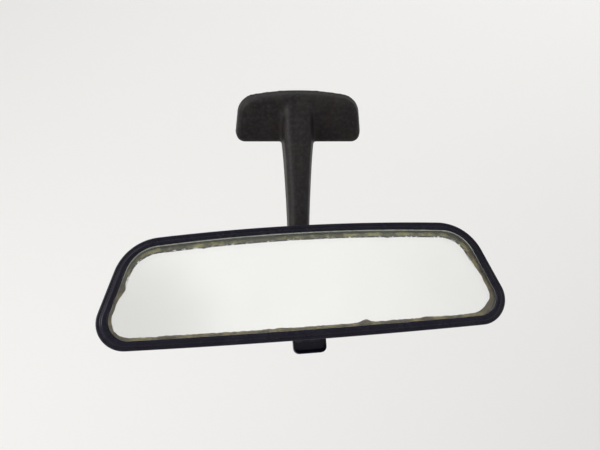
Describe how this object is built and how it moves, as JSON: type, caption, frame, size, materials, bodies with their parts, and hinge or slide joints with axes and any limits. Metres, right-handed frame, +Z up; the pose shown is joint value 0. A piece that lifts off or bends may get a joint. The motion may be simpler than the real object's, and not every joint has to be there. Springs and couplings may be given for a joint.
{
  "type": "interior rearview mirror",
  "caption": "Interior rearview mirror: header foot and stem in one moulding, a clamped ball joint, and a prism glass head that a lever under it tips against dazzle.",
  "frame": {"origin": "middle of the roof plate's mounting face, where it meets the windscreen header", "axes": "+Z up as installed, the glass looks towards -Y, +X is the driver's right when facing the glass; the mounting face slopes 40 degrees from upright"},
  "size_m": [0.2388, 0.0693, 0.1677],
  "materials": {
    "stem_plastic": "fine grained, low sheen",
    "case_plastic": "smooth satin",
    "bezel_plastic": "smooth satin",
    "lever_plastic": "satin",
    "prism_glass": "polished",
    "silver_coat": "bright",
    "aged_sealant": "dull",
    "pad_foam": "open cell",
    "race_nylon": "smooth",
    "carrier_plastic": "glass filled",
    "clamp_steel": "black passivated",
    "zinc_steel": "zinc plated",
    "spring_steel": "oiled",
    "pin_steel": "ground",
    "stud_chrome": "polished ball",
    "gasket_rubber": "matte"
  },
  "bodies": {
    "stem": {"roof_plate": "zinc_steel", "clip_spring": "spring_steel", "clip_rivets": "pin_steel", "foot_gasket": "gasket_rubber", "stem": "stem_plastic", "ball_stud": "stud_chrome"},
    "yaw_race": {"liner_rear": "race_nylon"},
    "pitch_race": {"liner_front": "race_nylon"},
    "carrier": {"carrier": "carrier_plastic", "socket_clamp": "clamp_steel", "clamp_screws": "zinc_steel", "clamp_springs": "spring_steel"},
    "case": {"housing": "case_plastic", "bezel": "bezel_plastic", "glass": "prism_glass", "silver": "silver_coat", "sealant_bead": "aged_sealant", "foam_pads": "pad_foam", "dip_pin": "pin_steel", "lever_pin": "pin_steel", "lever_spring": "spring_steel"},
    "lever": {"dip_lever": "lever_plastic"}
  },
  "joints": [
    {"name": "head_yaw", "type": "hinge", "parent": "stem", "child": "yaw_race", "pos_m": [0, -0.022, -0.1152], "axis": [0, 0, 1], "range_deg": [-23, 8]},
    {"name": "head_pitch", "type": "hinge", "parent": "yaw_race", "child": "pitch_race", "pos_m": [0, -0.022, -0.1152], "axis": [0.9914, 0.1305, 0], "range_deg": [-10, 10]},
    {"name": "head_roll", "type": "hinge", "parent": "pitch_race", "child": "carrier", "pos_m": [0, -0.022, -0.1152], "axis": [0.1305, -0.9914, 0], "range_deg": [-16, 7]},
    {"name": "case_dip", "type": "hinge", "parent": "carrier", "child": "case", "pos_m": [-0.00012, -0.02948, -0.10024], "axis": [-0.9888, -0.1302, -0.0732], "range_deg": [0, 4.5]},
    {"name": "lever_flip", "type": "hinge", "parent": "case", "child": "lever", "pos_m": [0.00224, -0.02524, -0.13963], "axis": [-0.9888, -0.1302, -0.0732], "range_deg": [0, 34]}
  ],
  "couplings": [
    {"joint": "lever_flip", "follows": "case_dip", "ratio": 7.555}
  ]
}
